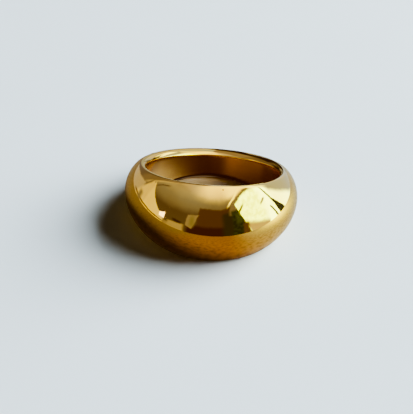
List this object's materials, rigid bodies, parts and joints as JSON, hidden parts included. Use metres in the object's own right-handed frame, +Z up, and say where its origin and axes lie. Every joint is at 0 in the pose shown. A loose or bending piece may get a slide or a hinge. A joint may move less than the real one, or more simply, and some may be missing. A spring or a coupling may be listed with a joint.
{
  "type": "finger ring",
  "caption": "One-piece dome ring in polished gold-coloured metal: a wide bulging front that narrows to a rounded shank, with a plain round finger hole.",
  "frame": {"origin": "where the axis of the finger hole meets the surface that the ring lies on", "axes": "+Z up from that surface, -Y towards the middle of the dome, +X to the right seen from the dome; the finger hole leans 9.5 degrees from +Z towards +Y"},
  "size_m": [0.0228, 0.023, 0.0103],
  "materials": {
    "gold": "polished"
  },
  "bodies": {
    "root": {"dome_ring": "gold"}
  },
  "joints": []
}
